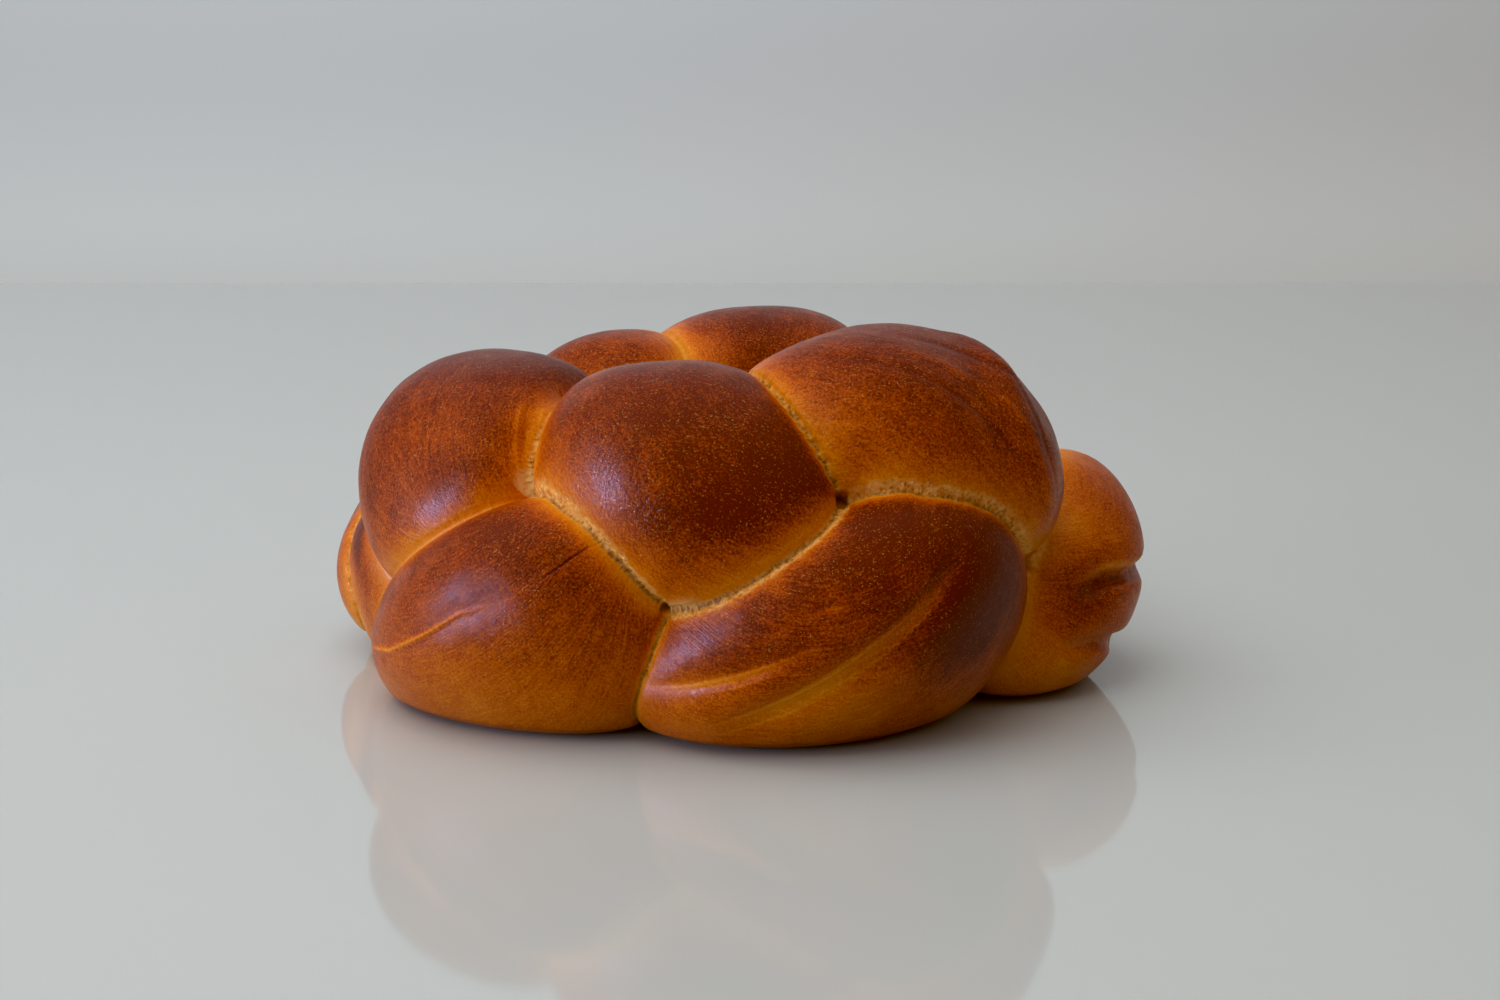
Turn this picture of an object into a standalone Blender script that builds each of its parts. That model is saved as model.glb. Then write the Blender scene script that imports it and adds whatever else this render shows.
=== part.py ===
"""Round challah: three ropes of dough plaited into a ring and baked into one loaf.

The plait's face looks outward and a little up, so its spine runs in a zigzag along the outer wall. Seen from outside,
two rows of swollen lumps meet there: the upper row rolls from the hole over the crest and down to the spine, and the
lower row comes from under the loaf and up to the spine. Metres, +Z up, the origin at the base under the middle of the
loaf's bounding box, and the view that shows the loaf best looks along +Y.
"""

import bmesh
import bpy
import numpy as np
from mathutils import Matrix

MM = 0.001

# Driving dimensions
RING_AXIS_X = 2.2 * MM
RING_AXIS_Y = 1.8 * MM
HEART_REACH = 68 * MM
HEART_RISE = 46 * MM
CORE_REACH = 65 * MM
CORE_RISE = 33 * MM
CORE_THICKNESS = 67 * MM
BASE_CUT_DEPTH = 60 * MM
BASE_CUT_WIDTH = 400 * MM

# Faceting: facet edges within about FACET_GATHER degrees of a fold are drawn to it
RINGS_ALONG = 24
SIDES_ROUND = 30
CORE_SEGMENTS = 32
CORE_SIDES = 12
FACET_GATHER = 14
SEAM_WELD = 0.05 * MM
CREASE_ANGLE = np.radians(50)

# Section of a lump: blunt ends, slightly boxy sides and a flatter half towards the core
END_BLUNTNESS = 2.6
SECTION_BOXINESS = 0.86
INNER_DEPTH = 0.8

CRUST_COLOUR = (0.27, 0.085, 0.018, 1.0)
CRUST_ROUGHNESS = 0.38

# The middle line of a lump and its thickness, key by key: the turn round the ring in degrees, then the reach from the
# ring's axis, the rise above the base, the half width along the crust and the half depth into the loaf in millimetres.
# The first and last keys are tucked under the neighbours. The inner row is the plait's back, which lines the hole.
UPPER_LINE = (
    (-36, 46, 52, 22, 22),
    (-18, 60, 62, 34, 32),
    (0, 72, 64, 38, 34),
    (14, 84, 54, 34, 28),
    (24, 88, 38, 22, 22),
)
LOWER_LINE = (
    (-37, 84, 12, 18, 20),
    (-20, 86, 20, 30, 28),
    (0, 86, 28.5, 39, 31),
    (18, 84, 39, 38, 30),
    (32, 78, 50, 26, 24),
)
INNER_LINE = (
    (-30, 52, 6, 18, 20),
    (-14, 45, 22, 25, 21),
    (2, 43, 40, 27, 20),
    (18, 47, 58, 20, 20),
)
INNER_LUMP_COUNT = 6
FIRST_INNER_TURN = 12

# How each lump departs from its row's line: the turn of its middle in degrees, stretch along the ring, reach and rise
# in millimetres, and width and depth as factors.
UPPER_LUMPS = {
    "left": {"turn": -72, "reach": 2, "rise": -5, "wide": 1.03},
    "front": {"turn": -12, "wide": 0.95},
    "right": {"turn": 38, "stretch": 1.05, "reach": -4, "rise": 7.5, "wide": 1.02},
    "side_right": {"turn": 97, "reach": -11, "rise": -16, "deep": 0.9},
    "back_right": {"turn": 139, "reach": -3, "rise": -19, "wide": 0.95},
    "back": {"turn": 178, "stretch": 0.85, "rise": -5},
    "back_left": {"turn": 214, "stretch": 0.75, "rise": -11, "wide": 0.74},
    "far_left": {"turn": 253, "stretch": 0.9, "reach": 20, "rise": -29, "wide": 0.75, "deep": 0.7},
}
LOWER_LUMPS = {
    "front_left": {"turn": -43, "reach": 3, "rise": -4.5, "wide": 0.93},
    "front": {"turn": 18, "stretch": 1.1},
    "right": {"turn": 78, "stretch": 0.85, "reach": -0.3, "rise": -1.5, "wide": 0.84, "deep": 0.95},
    "back_right": {"turn": 136, "reach": -3},
    "back": {"turn": 200, "reach": -3},
    "left": {"turn": 264, "reach": -3, "rise": -13, "wide": 0.95},
}

# Folds left in a rope where it was rolled and twisted: points along the lump (0 to 1) and round its section in degrees,
# then the fold's depth and half width in millimetres. A negative depth is a swelling.
FOLDS = {
    "upper_left": (
        (((0.62, 142), (0.74, 162), (0.84, 182)), 1.2, 6.0),
        (((0.24, 150), (0.42, 142), (0.5, 146), (0.64, 158)), 5.0, 9.0),
    ),
    "upper_right": (
        (((0.48, 58), (0.62, 74), (0.8, 90)), 1.2, 6.0),
        (((0.55, 122), (0.63, 100), (0.7, 88), (0.8, 74), (1, 70)), -4.0, 11.0),
    ),
    "lower_front_left": ((((0.27, 146), (0.5, 138), (0.8, 136)), 0.8, 4.0),),
    "lower_front": (
        (((0.12, 158), (0.26, 148), (0.42, 146)), 1.5, 4.5),
        (((0.24, 113), (0.42, 124), (0.56, 134), (0.7, 148)), 2.4, 5.5),
    ),
    "lower_right": (
        (((0.26, 178), (0.36, 168), (0.44, 151), (0.52, 133), (0.64, 112)), 4.0, 4.0),
        (((0.18, 152), (0.25, 141), (0.31, 130), (0.39, 112), (0.5, 92)), 3.4, 4.0),
    ),
}
FOLD_FADE = 0.1


def lump_line(base, turn, stretch=1.0, reach=0.0, rise=0.0, wide=1.0, deep=1.0):
    """The row's line moved, stretched and swollen for one lump, in degrees and metres, and the heart it faces from."""
    keys = np.array(base, float)
    keys[:, 0] = turn + keys[:, 0] * stretch
    keys[:, 1] = (keys[:, 1] + reach) * MM
    keys[:, 2] = (keys[:, 2] + rise) * MM
    keys[:, 3] *= wide * MM
    keys[:, 4] *= deep * MM
    return keys, (HEART_REACH + reach * MM, HEART_RISE + rise * MM)


def inner_lumps():
    """The plait's back, which lines the hole, is taken as even."""
    step = 360 / INNER_LUMP_COUNT
    return {f"{index + 1}": {"turn": FIRST_INNER_TURN + step * index} for index in range(INNER_LUMP_COUNT)}


def through(keys, along):
    """A smooth curve through the keys (Catmull-Rom), at along from 0 to 1."""
    before = 2 * keys[0] - keys[1]
    after = 2 * keys[-1] - keys[-2]
    padded = np.vstack([before, keys, after])
    place = along * (len(keys) - 1)
    index = np.minimum(place.astype(int), len(keys) - 2)
    t = (place - index)[:, None]
    a, b, c, d = (padded[index + step] for step in range(4))
    return 0.5 * (2 * b + (c - a) * t + (2 * a - 5 * b + 4 * c - d) * t**2 + (3 * b - a - 3 * c + d) * t**3)


def ring_points(turn, reach, rise):
    """Points at a turn in degrees from -Y towards +X, a reach from the ring's axis and a rise."""
    angle = np.radians(turn)
    east = RING_AXIS_X + reach * np.sin(angle)
    north = RING_AXIS_Y - reach * np.cos(angle)
    return np.stack([east, north, np.broadcast_to(rise, angle.shape)], axis=1)


def unit(vectors):
    return vectors / np.linalg.norm(vectors, axis=1)[:, None]


def section_axes(keys, heart, along):
    """The middle line at along, and the directions of a section's width and depth there."""
    step = 1e-3
    rows = through(keys, along)
    line = ring_points(rows[:, 0], rows[:, 1], rows[:, 2])
    ahead = through(keys, np.minimum(along + step, 1))
    behind = through(keys, np.maximum(along - step, 0))
    tangent = unit(ring_points(*ahead.T[:3]) - ring_points(*behind.T[:3]))
    outward = line - ring_points(rows[:, 0], *heart)
    outward = unit(outward - np.sum(outward * tangent, axis=1)[:, None] * tangent)
    return rows, line, np.cross(tangent, outward), outward


def rounded(value):
    """A cosine or sine pulled towards a box by SECTION_BOXINESS."""
    return np.sign(value) * np.abs(value) ** SECTION_BOXINESS


def fold_gap(fold_path, along, angle):
    """How far round the section a point lies from a fold, in degrees, and how far the fold has faded there."""
    stations, angles = np.array(fold_path, float).T
    gap = angle - np.interp(along, stations, angles)
    opening = np.clip((along - stations[0]) / FOLD_FADE, 0, 1)
    closing = np.clip((stations[-1] - along) / FOLD_FADE, 0, 1)
    return gap, opening * closing


def bend_sphere(sphere_points, keys, heart, folds):
    """A unit sphere's points laid along a lump's line: its poles become the line's ends."""
    latitude = np.arccos(np.clip(-sphere_points[:, 2], -1, 1))
    angle = np.degrees(np.arctan2(sphere_points[:, 1], sphere_points[:, 0])) % 360
    along = (1 - np.cos(latitude)) / 2
    rows, line, side, outward = section_axes(keys, heart, along)
    swell = np.maximum(0, 1 - np.abs(2 * along - 1) ** END_BLUNTNESS) ** (1 / END_BLUNTNESS)
    for path, depth, _ in folds:
        if depth > 0:
            gap, strength = fold_gap(path, along, angle)
            angle = angle - strength * gap * np.exp(-((gap / FACET_GATHER) ** 2))
    across = rows[:, 3] * swell * rounded(np.cos(np.radians(angle)))
    out = rows[:, 4] * swell * rounded(np.sin(np.radians(angle)))
    out = np.where(out < 0, out * INNER_DEPTH, out)
    radius = np.hypot(across, out) + 1e-9
    for path, depth, half_width in folds:
        gap, strength = fold_gap(path, along, angle)
        sunk = depth * MM * strength * np.exp(-((np.radians(gap) * radius / (half_width * MM)) ** 2))
        across, out = across * (1 - sunk / radius), out * (1 - sunk / radius)
    return line + across[:, None] * side + out[:, None] * outward


def mesh_object(name, mesh_builder, collection):
    """A new object in collection whose mesh mesh_builder fills."""
    mesh = bpy.data.meshes.new(name)
    bm = bmesh.new()
    mesh_builder(bm)
    bmesh.ops.recalc_face_normals(bm, faces=bm.faces)
    bm.to_mesh(mesh)
    bm.free()
    obj = bpy.data.objects.new(name, mesh)
    collection.objects.link(obj)
    return obj


def add_lump(name, keys, heart, folds, collection):
    """One rope's swollen stretch between two tucks."""

    def build(bm):
        bmesh.ops.create_uvsphere(bm, u_segments=SIDES_ROUND, v_segments=RINGS_ALONG, radius=1)
        points = bend_sphere(np.array([v.co for v in bm.verts]), keys, heart, folds)
        for vertex, point in zip(bm.verts, points):
            vertex.co = point

    return mesh_object(name, build, collection)


def add_core(name, collection):
    """The dough inside the ring, where the ropes pass under each other."""
    bpy.ops.mesh.primitive_torus_add(
        major_segments=CORE_SEGMENTS,
        minor_segments=CORE_SIDES,
        major_radius=CORE_REACH,
        minor_radius=CORE_THICKNESS / 2,
    )
    core = bpy.context.object
    core.name = name
    core.data.name = name
    core.data.transform(Matrix.Translation((RING_AXIS_X, RING_AXIS_Y, CORE_RISE)))
    for owner in list(core.users_collection):
        owner.objects.unlink(core)
    collection.objects.link(core)
    return core


def add_base_cutter(collection):
    """A slab below height zero, which leaves the loaf a flat base."""

    def build(bm):
        bmesh.ops.create_cube(bm, size=1)
        bmesh.ops.scale(bm, vec=(BASE_CUT_WIDTH, BASE_CUT_WIDTH, BASE_CUT_DEPTH), verts=bm.verts)
        bmesh.ops.translate(bm, vec=(0, 0, -BASE_CUT_DEPTH / 2), verts=bm.verts)

    cutter = mesh_object("base_cutter", build, collection)
    cutter.hide_render = True
    cutter.display_type = "WIRE"
    return cutter


def apply_boolean(obj, operation, operand):
    """A Boolean with an object or a whole collection, applied."""
    modifier = obj.modifiers.new(operation.title(), "BOOLEAN")
    modifier.operation = operation
    if isinstance(operand, bpy.types.Collection):
        modifier.operand_type = "COLLECTION"
        modifier.collection = operand
    else:
        modifier.object = operand
    with bpy.context.temp_override(object=obj, active_object=obj):
        bpy.ops.object.modifier_apply(modifier=modifier.name)


def tidy_seams(obj):
    """Welds the short edges that a union leaves along its seams."""
    bm = bmesh.new()
    bm.from_mesh(obj.data)
    bmesh.ops.triangulate(bm, faces=bm.faces)
    bmesh.ops.dissolve_degenerate(bm, edges=bm.edges, dist=SEAM_WELD)
    bmesh.ops.triangulate(bm, faces=bm.faces)
    bm.to_mesh(obj.data)
    bm.free()


def crust_material():
    material = bpy.data.materials.new("crust")
    material.use_nodes = True
    shader = material.node_tree.nodes["Principled BSDF"]
    shader.inputs["Base Color"].default_value = CRUST_COLOUR
    shader.inputs["Roughness"].default_value = CRUST_ROUGHNESS
    shader.inputs["Metallic"].default_value = 0.0
    return material


def main():
    for old in list(bpy.data.objects):
        bpy.data.objects.remove(old)
    scene_collection = bpy.context.scene.collection
    challah_collection = bpy.data.collections.new("challah")
    rope_collection = bpy.data.collections.new("ropes")
    cutter_collection = bpy.data.collections.new("cutters")
    for collection in (challah_collection, rope_collection, cutter_collection):
        scene_collection.children.link(collection)

    loaf = add_core("challah", challah_collection)
    for row, base, lumps in (
        ("upper", UPPER_LINE, UPPER_LUMPS),
        ("lower", LOWER_LINE, LOWER_LUMPS),
        ("inner", INNER_LINE, inner_lumps()),
    ):
        for place, change in lumps.items():
            name = f"{row}_{place}"
            add_lump(name, *lump_line(base, **change), FOLDS.get(name, ()), rope_collection)
    apply_boolean(loaf, "UNION", rope_collection)
    for rope in list(rope_collection.objects):
        bpy.data.objects.remove(rope)
    bpy.data.collections.remove(rope_collection)
    apply_boolean(loaf, "DIFFERENCE", add_base_cutter(cutter_collection))
    tidy_seams(loaf)
    loaf.data.shade_smooth()
    loaf.data.set_sharp_from_angle(angle=CREASE_ANGLE)
    loaf.data.materials.clear()
    loaf.data.materials.append(crust_material())


main()
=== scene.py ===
"""Looks of the round challah: three plaited ropes of dough under a glossy, egg-washed crust.

The crust is one mesh. Each rope's lumps are laid out finely, fused, smoothed and refined along the creases
between them. Every point then knows its lump, its place along the rope and round it, and how far it lies from
the nearest crease. Relief is cut with these, and they tell the material where the crust browned, tore or
stayed pale, and where painted shade darkens pits, cracks along torn creases and holes at the corners.
"""

import bmesh
import bpy
import numpy as np
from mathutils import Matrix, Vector, kdtree, noise


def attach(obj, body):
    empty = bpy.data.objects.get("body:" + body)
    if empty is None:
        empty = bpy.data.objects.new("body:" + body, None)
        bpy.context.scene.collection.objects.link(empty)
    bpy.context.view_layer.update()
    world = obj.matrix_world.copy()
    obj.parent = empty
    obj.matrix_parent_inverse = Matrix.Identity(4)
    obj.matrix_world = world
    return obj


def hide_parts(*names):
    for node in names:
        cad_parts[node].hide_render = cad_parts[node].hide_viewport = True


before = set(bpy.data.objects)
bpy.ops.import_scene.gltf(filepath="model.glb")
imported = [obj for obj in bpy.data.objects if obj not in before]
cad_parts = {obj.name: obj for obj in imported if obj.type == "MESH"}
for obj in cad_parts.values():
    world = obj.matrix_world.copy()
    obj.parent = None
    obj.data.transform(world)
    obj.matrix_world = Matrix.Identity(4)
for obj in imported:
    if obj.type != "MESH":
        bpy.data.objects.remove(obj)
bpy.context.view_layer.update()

MM = 0.001
TINY = 1e-9
TINY_SQUARE = 1e-12
NOISE_STEP = (7.31, 3.17, 5.53)

# The loaf's ring and its section's heart, as in the solid
RING_AXIS_X = 2.2 * MM
RING_AXIS_Y = 1.8 * MM
HEART_REACH = 68 * MM
HEART_RISE = 46 * MM
CORE_REACH = 65 * MM
CORE_RISE = 33 * MM
CORE_THICKNESS = 67 * MM
END_BLUNTNESS = 2.6
SECTION_BOXINESS = 0.86
INNER_DEPTH = 0.8

# The middle line of a lump and its thickness, key by key: the turn round the ring in degrees, then in
# millimetres the reach from the ring's axis, the rise above the base, the half width along the crust and the
# half depth into the loaf.
UPPER_LINE = (
    (-36, 46, 52, 22, 22),
    (-18, 60, 62, 34, 32),
    (0, 72, 64, 38, 34),
    (14, 84, 54, 34, 28),
    (24, 88, 38, 22, 22),
)
LOWER_LINE = (
    (-37, 84, 12, 18, 20),
    (-20, 86, 20, 30, 28),
    (0, 86, 28.5, 39, 31),
    (18, 84, 39, 38, 30),
    (32, 78, 50, 26, 24),
)
INNER_LINE = (
    (-30, 52, 6, 18, 20),
    (-14, 45, 22, 25, 21),
    (2, 43, 40, 27, 20),
    (18, 47, 58, 20, 20),
)
INNER_LUMP_COUNT = 6
FIRST_INNER_TURN = 12

# How each lump departs from its row's line: the turn of its middle in degrees, stretch along the ring, reach
# and rise in millimetres, and width and depth as factors.
UPPER_LUMPS = {
    "left": {"turn": -72, "reach": 2, "rise": -5, "wide": 1.03},
    "front": {"turn": -12, "wide": 0.95},
    "right": {"turn": 38, "stretch": 1.05, "reach": -4, "rise": 7.5, "wide": 1.02},
    "side_right": {"turn": 97, "reach": -11, "rise": -16, "deep": 0.9},
    "back_right": {"turn": 139, "reach": -3, "rise": -19, "wide": 0.95},
    "back": {"turn": 178, "stretch": 0.85, "rise": -5},
    "back_left": {"turn": 214, "stretch": 0.75, "rise": -11, "wide": 0.74},
    "far_left": {"turn": 253, "stretch": 0.9, "reach": 20, "rise": -29, "wide": 0.75, "deep": 0.7},
}
LOWER_LUMPS = {
    "front_left": {"turn": -43, "reach": 3, "rise": -4.5, "wide": 0.93},
    "front": {"turn": 18, "stretch": 1.1},
    "right": {"turn": 78, "stretch": 0.85, "reach": -0.3, "rise": -1.5, "wide": 0.84, "deep": 0.95},
    "back_right": {"turn": 136, "reach": -3},
    "back": {"turn": 200, "reach": -3},
    "left": {"turn": 264, "reach": -3, "rise": -13, "wide": 0.95},
}

# Folds left in a rope where it was rolled and twisted: points along the lump (0 to 1) and round its section
# in degrees, then the fold's depth and half width in millimetres. A negative depth is a swelling.
FOLDS = {
    "upper_left": (
        (((0.62, 142), (0.74, 162), (0.84, 182)), 1.2, 6.0),
        (((0.24, 150), (0.42, 142), (0.5, 146), (0.64, 158)), 5.0, 9.0),
    ),
    "upper_right": (
        (((0.48, 58), (0.62, 74), (0.8, 90)), 0.9, 7.0),
        (((0.55, 122), (0.63, 100), (0.7, 88), (0.8, 74), (1, 70)), -4.0, 11.0),
    ),
    "lower_front_left": ((((0.27, 146), (0.5, 138), (0.8, 136)), 0.8, 4.0),),
    "lower_front": (
        (((0.12, 158), (0.26, 148), (0.42, 146)), 1.5, 4.5),
        (((0.24, 113), (0.42, 124), (0.56, 134), (0.7, 148)), 2.4, 5.5),
    ),
    "lower_right": (
        (((0.26, 178), (0.36, 168), (0.44, 151), (0.52, 133), (0.64, 112)), 4.8, 2.8),
        (((0.18, 152), (0.25, 141), (0.31, 130), (0.39, 112), (0.5, 92)), 4.2, 2.8),
    ),
}
FOLD_FADE = 0.1

# How the crust browned: it stays pale for some millimetres from a crease. Pairs give the lump, its neighbour
# at the crease and how far the lump stays pale there. Elsewhere it stays pale for BROWNING_REACH. The reaches
# are then evened out between neighbouring points, in so many rounds.
BROWNING_REACH = 7 * MM
REACH_EVENING = 40
CREASE_REACHES = {
    ("upper_left", "lower_front_left"): 4.5,
    ("lower_front_left", "upper_left"): 2.5,
    ("upper_front", "lower_front_left"): 5,
    ("lower_front_left", "upper_front"): 3,
    ("lower_front_left", "lower_front"): 0.8,
    ("lower_front", "lower_front_left"): 2,
    ("upper_front", "lower_front"): 5,
    ("lower_front", "upper_front"): 3,
    ("upper_front", "upper_right"): 1.5,
    ("upper_right", "upper_front"): 3.5,
    ("upper_right", "lower_front"): 7,
    ("lower_front", "upper_right"): 2.5,
    ("lower_front", "lower_right"): 3,
    ("lower_right", "lower_front"): 4,
    ("lower_right", "upper_right"): 4,
    ("upper_right", "lower_right"): 1.5,
    ("upper_left", "upper_front"): 5,
    ("upper_back", "upper_back_left"): 4,
    ("upper_back_left", "upper_back"): 4,
}

# The foot is paler up to a height, and steep sides a little paler than the tops. Clouds of each size, with
# their seed, shift the browning everywhere, and each lump's own change comes on top.
PALE_FOOT = 0.19
PALE_FOOT_LOW = 4 * MM
PALE_FOOT_HIGH = 34 * MM
SIDE_BROWNING = 0.86
BROWNING_CLOUDS = ((34 * MM, 3, 0.08), (13 * MM, 4, 0.04))
FULL_BROWNING = 1.2
LUMP_BROWNING = {
    "lower_right": -0.2,
    "upper_back_left": -0.1,
    "upper_far_left": 0.05,
    "upper_left": 0.02,
    "upper_right": -0.03,
    "lower_left": 0.05,
    "lower_front_left": -0.08,
}

# Darker and paler patches: the lump, the place along and round it, the reach in millimetres and the change in
# browning
PATCHES = (
    ("upper_front", 0.65, 46, 5, 0.15),
    ("upper_front", 0.75, 117, 15, 0.25),
    ("upper_front", 0.73, 76, 12, 0.12),
    ("upper_front", 0.39, 12, 15, -0.12),
    ("upper_right", 0.53, 20, 14, 0.1),
    ("upper_right", 0.68, 36, 12, 0.2),
    ("upper_right", 0.37, 11, 13, -0.15),
    ("lower_front", 0.68, 119, 14, 0.35),
    ("lower_front", 0.62, 106, 13, 0.15),
    ("lower_front", 0.56, 180, 14, 0.1),
    ("lower_front", 0.22, 141, 10, -0.12),
    ("lower_front", 0.44, 110, 14, -0.25),
    ("lower_front_left", 0.81, 123, 13, 0.06),
    ("lower_front_left", 0.54, 102, 16, -0.15),
    ("lower_front_left", 0.67, 162, 12, 0.12),
    ("upper_left", 0.69, 100, 16, -0.1),
    ("upper_left", 0.84, 124, 12, 0.2),
    ("upper_back", 0.39, 132, 10, -0.12),
    ("lower_left", 0.68, 153, 12, 0.4),
    ("upper_far_left", 0.81, 172, 10, 0.3),
    ("lower_right", 0.19, 130, 12, -0.12),
    ("lower_right", 0.28, 168, 11, 0.22),
    ("lower_right", 0.45, 184, 14, -0.1),
    ("lower_right", 0.42, 203, 9, -0.2),
)

# Marks drawn on a lump: points along it (0 to 1) and round it in degrees, then half width and depth in
# millimetres and how much paler it is. A negative depth is a lip. A negative paleness, on a sunk groove or
# crack, is painted shade in it. Marks narrower than FINE_MARK need a finer mesh.
MARKS = {
    "lower_front": (
        (((0.12, 158), (0.24, 148), (0.30, 146), (0.42, 146)), 1.6, 0.3, 0.3),
        (((0.24, 113), (0.34, 119), (0.46, 130), (0.59, 138), (0.7, 148)), 3.0, 0.2, 0.3),
        (((0.20, 118), (0.32, 122), (0.45, 134), (0.58, 143)), 0.9, 0.25, 0.12),
        (((0.14, 154), (0.22, 149), (0.30, 147), (0.44, 148)), 0.6, -0.2, 0.2),
        (((0.22, 142), (0.30, 141), (0.40, 142)), 0.5, -0.12, 0.2),
        (((0.26, 119), (0.36, 124), (0.48, 135), (0.60, 142)), 0.6, -0.2, 0.16),
        (((0.30, 112), (0.42, 122), (0.54, 131), (0.66, 141)), 0.5, -0.15, 0.16),
        (((0.22, 108), (0.34, 114), (0.48, 125)), 0.5, 0.15, 0.2),
        (((0.30, 160), (0.40, 164), (0.50, 161)), 1.4, 0.3, 0.1),
        (((0.48, 208), (0.53, 210), (0.61, 205)), 1.4, 0.3, 0.1),
    ),
    "lower_front_left": (
        (((0.25, 147), (0.39, 137), (0.50, 137), (0.58, 138), (0.65, 134)), 0.8, -0.5, 0.4),
        (((0.60, 138), (0.67, 132), (0.72, 134), (0.75, 134)), 0.6, -0.1, 0.2),
        (((0.70, 133), (0.76, 134), (0.80, 136), (0.87, 138)), 0.4, 0.5, -0.3),
    ),
    "upper_left": (
        (((0.60, 139), (0.70, 156), (0.75, 165), (0.79, 172), (0.86, 187)), 1.1, 0.45, -0.08),
        (((0.60, 134), (0.70, 151), (0.75, 160), (0.79, 167), (0.86, 182)), 0.8, -0.3, 0.14),
        (((0.60, 145), (0.69, 162), (0.74, 171), (0.78, 179), (0.84, 192)), 0.9, -0.35, 0.14),
        (((0.60, 151), (0.68, 166), (0.74, 176), (0.79, 186)), 0.8, 0.4, -0.08),
    ),
    "upper_right": (
        (((0.30, 50), (0.50, 60), (0.61, 69), (0.72, 73), (0.84, 62)), 1.3, 0.3, -0.1),
        (((0.44, 84), (0.57, 94), (0.66, 98), (0.73, 92), (0.84, 76)), 1.1, 0.35, -0.12),
        (((0.44, 70), (0.61, 84), (0.70, 86), (0.80, 72)), 1.2, -0.25, 0.1),
        (((0.34, 24), (0.41, 30), (0.50, 36)), 0.8, -0.1, 0.1),
        (((0.25, 2), (0.32, 10), (0.42, 20)), 0.8, -0.1, 0.12),
    ),
    "lower_right": (
        (((0.28, 181), (0.38, 170), (0.46, 152), (0.54, 138)), 1.2, -0.5, 0.4),
        (((0.26, 176), (0.36, 166), (0.44, 149), (0.52, 131)), 1.6, 0.4, -0.15),
    ),
}
FINE_MARK = 1

# Creases that tore open: the two lumps, and the width of the torn crumb on each in millimetres
TEARS = (
    ("upper_front", "lower_front_left", 3.4, 0.3),
    ("upper_front", "lower_front", 0.4, 2.1),
    ("upper_right", "lower_front", 2.6, 0.2),
    ("upper_right", "lower_right", 0.3, 2.2),
    ("upper_left", "upper_front", 1.0, 1.3),
    ("upper_front", "upper_right", 0.15, 0.4),
    ("lower_front_left", "lower_front", 0.1, 0.3),
    ("lower_front", "lower_right", 0.2, 0.8),
    ("upper_far_left", "lower_left", 0.8, 0.8),
    ("upper_side_right", "lower_right", 1.2, 1.2),
    ("upper_side_right", "lower_back_right", 1.5, 0.4),
    ("upper_back", "lower_back", 1.2, 0.5),
    ("upper_back", "lower_back_right", 0.5, 1.2),
)
TEAR_RAGGEDNESS = 0.6
TEAR_LEAST = 0.1 * MM
TEAR_EDGES = (0.35, 1.3)

# Corners where pale dough shows: the three lumps, and the patch's reach and half width in millimetres. It
# lies on the first lump, along its crease with the second.
CREAM_CORNERS = (
    (("upper_left", "upper_front", "lower_front_left"), 10, 3.6),
    (("upper_front", "lower_front", "lower_front_left"), 12, 2.2),
)
CREAM_FULL = 0.45

# Corners where a small dark hole is left: the three lumps, and its depth and reach in millimetres. The hole
# is sunk, and its darkness is painted shade.
PIT_CORNERS = (
    (("upper_front", "upper_right", "lower_front"), 2.4, 1.1),
    (("upper_right", "lower_front", "lower_right"), 3.5, 1.8),
    (("upper_front", "lower_front_left", "lower_front"), 1.2, 0.7),
)

# Relief of the crust: each noise's size, seed and height, the groove and the dark hairline along a crease,
# and what a tear does. The hairline's darkness and the darkness of a tear's pits are painted shade, on top of
# the sunk relief.
SWELLS = ((26 * MM, 11, 0.35 * MM), (9 * MM, 12, 0.12 * MM))
RELIEF_SINK = 0.35 * MM
WRINKLES = (9, 13, 0.06 * MM)
WRINKLE_STRETCH = (150, 1 / 3, 9.0)
CREASE_CUT = 1.1 * MM
CREASE_HALF_WIDTH = 0.9 * MM
HAIRLINE = 0.28 * MM
HAIRLINE_DARKNESS = 0.6
TEAR_SINK = 0.3 * MM
TEAR_RISE = 0.3 * MM
TEAR_PITS = (1.1 * MM, 14, 0.35 * MM)
TEAR_PIT_EDGES = (0.26, 0.55)
TEAR_PIT_DARKNESS = 0.5
TEAR_GRAIN = (0.7 * MM, 15, 0.15 * MM)
RAGGED = ((1.9 * MM, 21, 0.7), (5 * MM, 22, 0.5))

# Colours of the crust by how far it browned, of its flecks, of the crumb in a tear, and of the painted shade
# in pits, cracks and corner holes
CRUST_TONES = (
    (0.0, (0.74, 0.31, 0.035)),
    (0.2, (0.65, 0.212, 0.01)),
    (0.45, (0.52, 0.125, 0.002)),
    (0.62, (0.42, 0.078, 0.0006)),
    (0.78, (0.27, 0.036, 0.0003)),
    (1.0, (0.1, 0.007, 0.0001)),
)
CREAM_COLOUR = (0.74, 0.5, 0.2, 1)
FLECK_COLOUR = (0.66, 0.31, 0.06, 1)
CRUMB_TONES = (
    (0.3, (0.42, 0.14, 0.015)),
    (0.45, (0.72, 0.33, 0.065)),
    (0.7, (0.84, 0.52, 0.17)),
)
# Painted shade, laid into pits, cracks along torn creases and holes at corners
PIT_SHADE_COLOUR = (0.12, 0.025, 0.002, 1)
WASH_TINT = (1, 0.5, 0.2, 1)

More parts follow.
